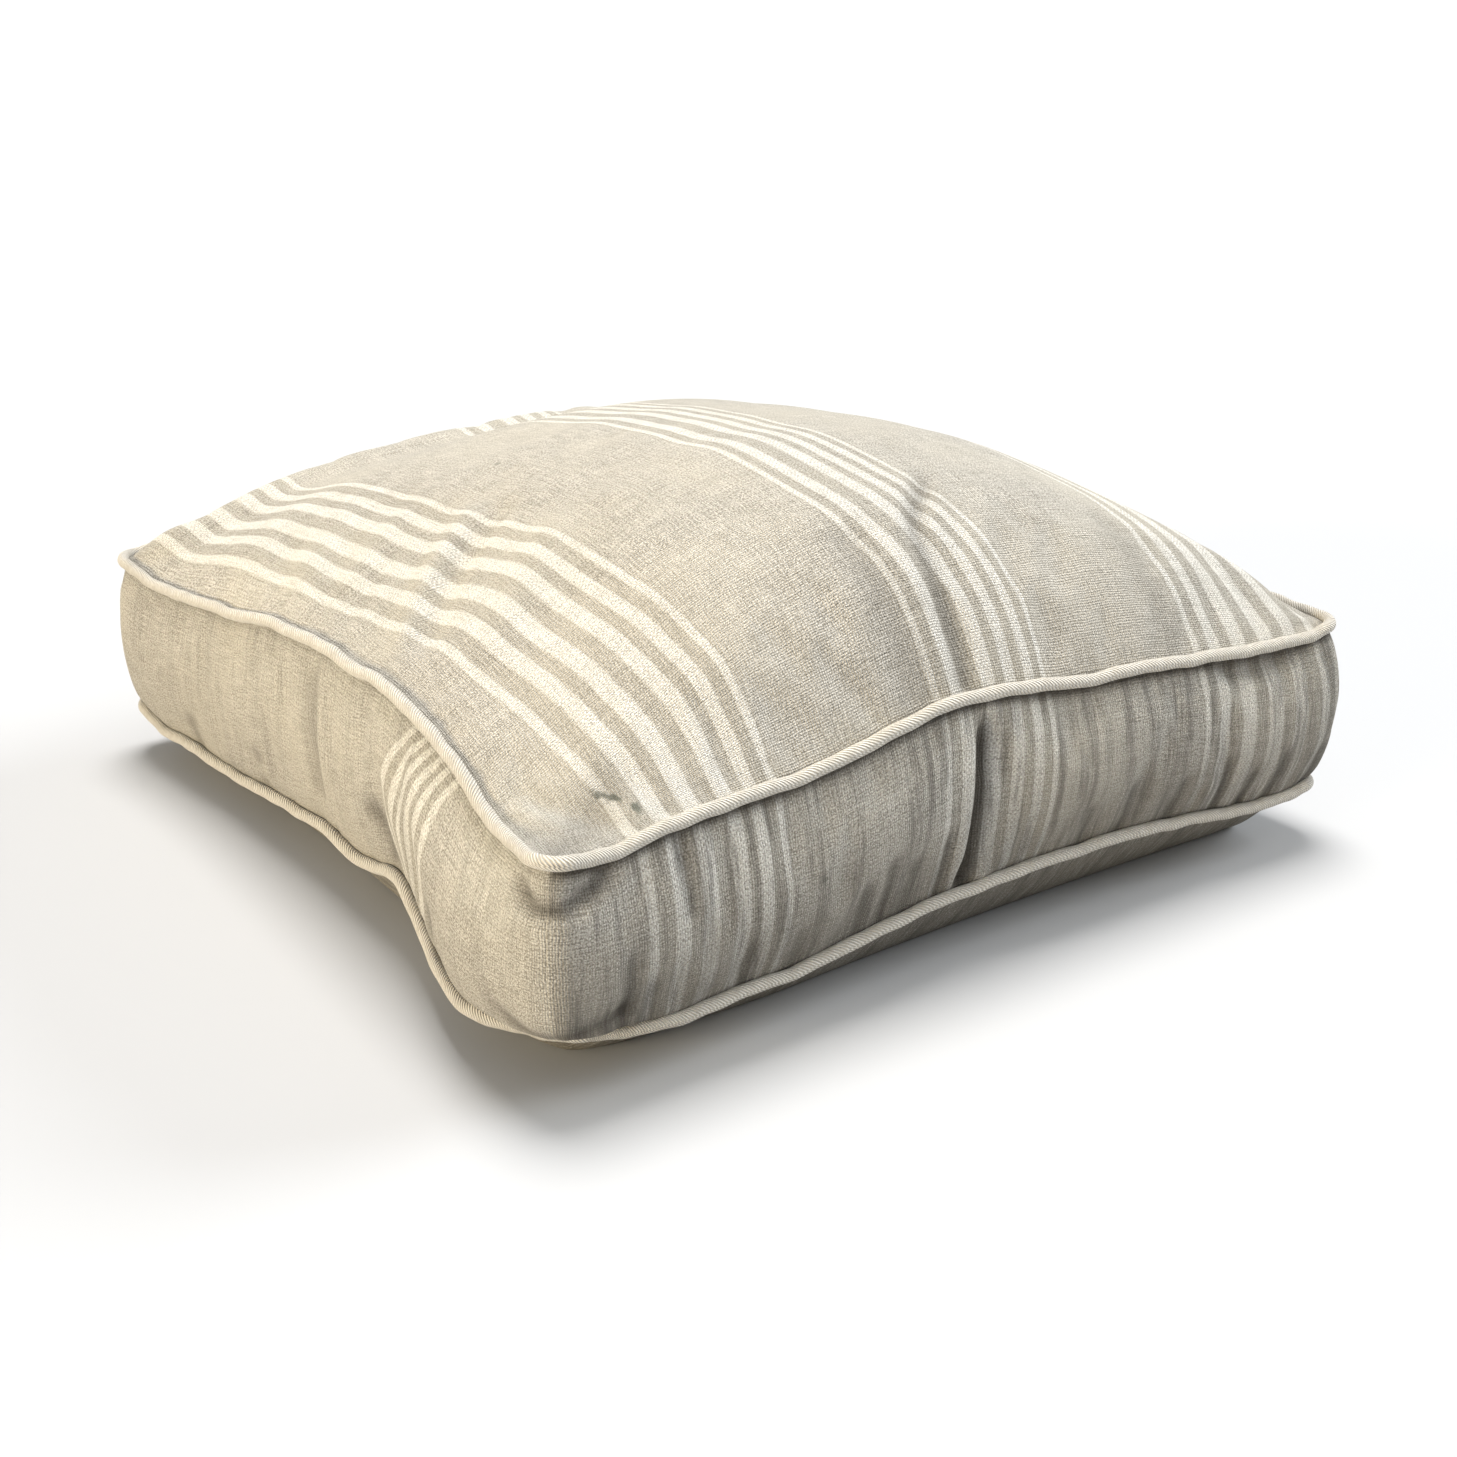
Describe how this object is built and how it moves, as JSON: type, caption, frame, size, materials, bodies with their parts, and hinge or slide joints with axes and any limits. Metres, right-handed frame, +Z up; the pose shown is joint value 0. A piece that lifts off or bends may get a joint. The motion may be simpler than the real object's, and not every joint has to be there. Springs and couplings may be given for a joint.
{
  "type": "floor cushion",
  "caption": "Square box floor cushion in striped linen with piped seams, zipped boxing and a stuffed inner pad",
  "frame": {"origin": "on the floor, under the middle of the cushion", "axes": "+Z up through the crown, -Y towards the striped front side, +Y towards the zipped back, +X along the front to the right as seen from the front"},
  "size_m": [0.608, 0.608, 0.2708],
  "materials": {
    "striped_linen": "coarse plain-weave linen, oatmeal with woven cream stripes",
    "plain_linen": "coarse plain-weave linen, oatmeal",
    "piping_cloth": "cream cotton twill, cut on the bias",
    "cotton_cord": "bleached cotton cord",
    "zip_tape": "woven polyester tape",
    "zip_coil": "nylon coil",
    "zip_metal": "nickel-plated zinc",
    "calico": "unbleached calico",
    "fill": "loose feather and fibre fill"
  },
  "bodies": {
    "cushion": {"top_panel": "striped_linen", "bottom_panel": "plain_linen", "front_boxing": "striped_linen", "left_boxing": "plain_linen", "right_boxing": "plain_linen", "back_boxing_upper": "striped_linen", "back_boxing_lower": "striped_linen", "top_piping_cover": "piping_cloth", "bottom_piping_cover": "piping_cloth", "top_piping_cord": "cotton_cord", "bottom_piping_cord": "cotton_cord", "zip_tape_upper": "zip_tape", "zip_tape_lower": "zip_tape", "zip_coil_upper": "zip_coil", "zip_coil_lower": "zip_coil", "zip_stops": "zip_metal", "inner_case_top": "calico", "inner_case_bottom": "calico", "inner_case_boxing": "calico", "fill": "fill"},
    "slider": {"zip_slider": "zip_metal"},
    "pull": {"zip_pull": "zip_metal"}
  },
  "joints": [
    {"name": "zip_slide", "type": "slide", "parent": "cushion", "child": "slider", "axis": [-1, 0, 0], "range_m": [0, 0.456]},
    {"name": "pull_flip", "type": "hinge", "parent": "slider", "child": "pull", "pos_m": [0.228, 0.2993, 0.095], "axis": [0, 0, -1], "range_deg": [0, 175]}
  ]
}
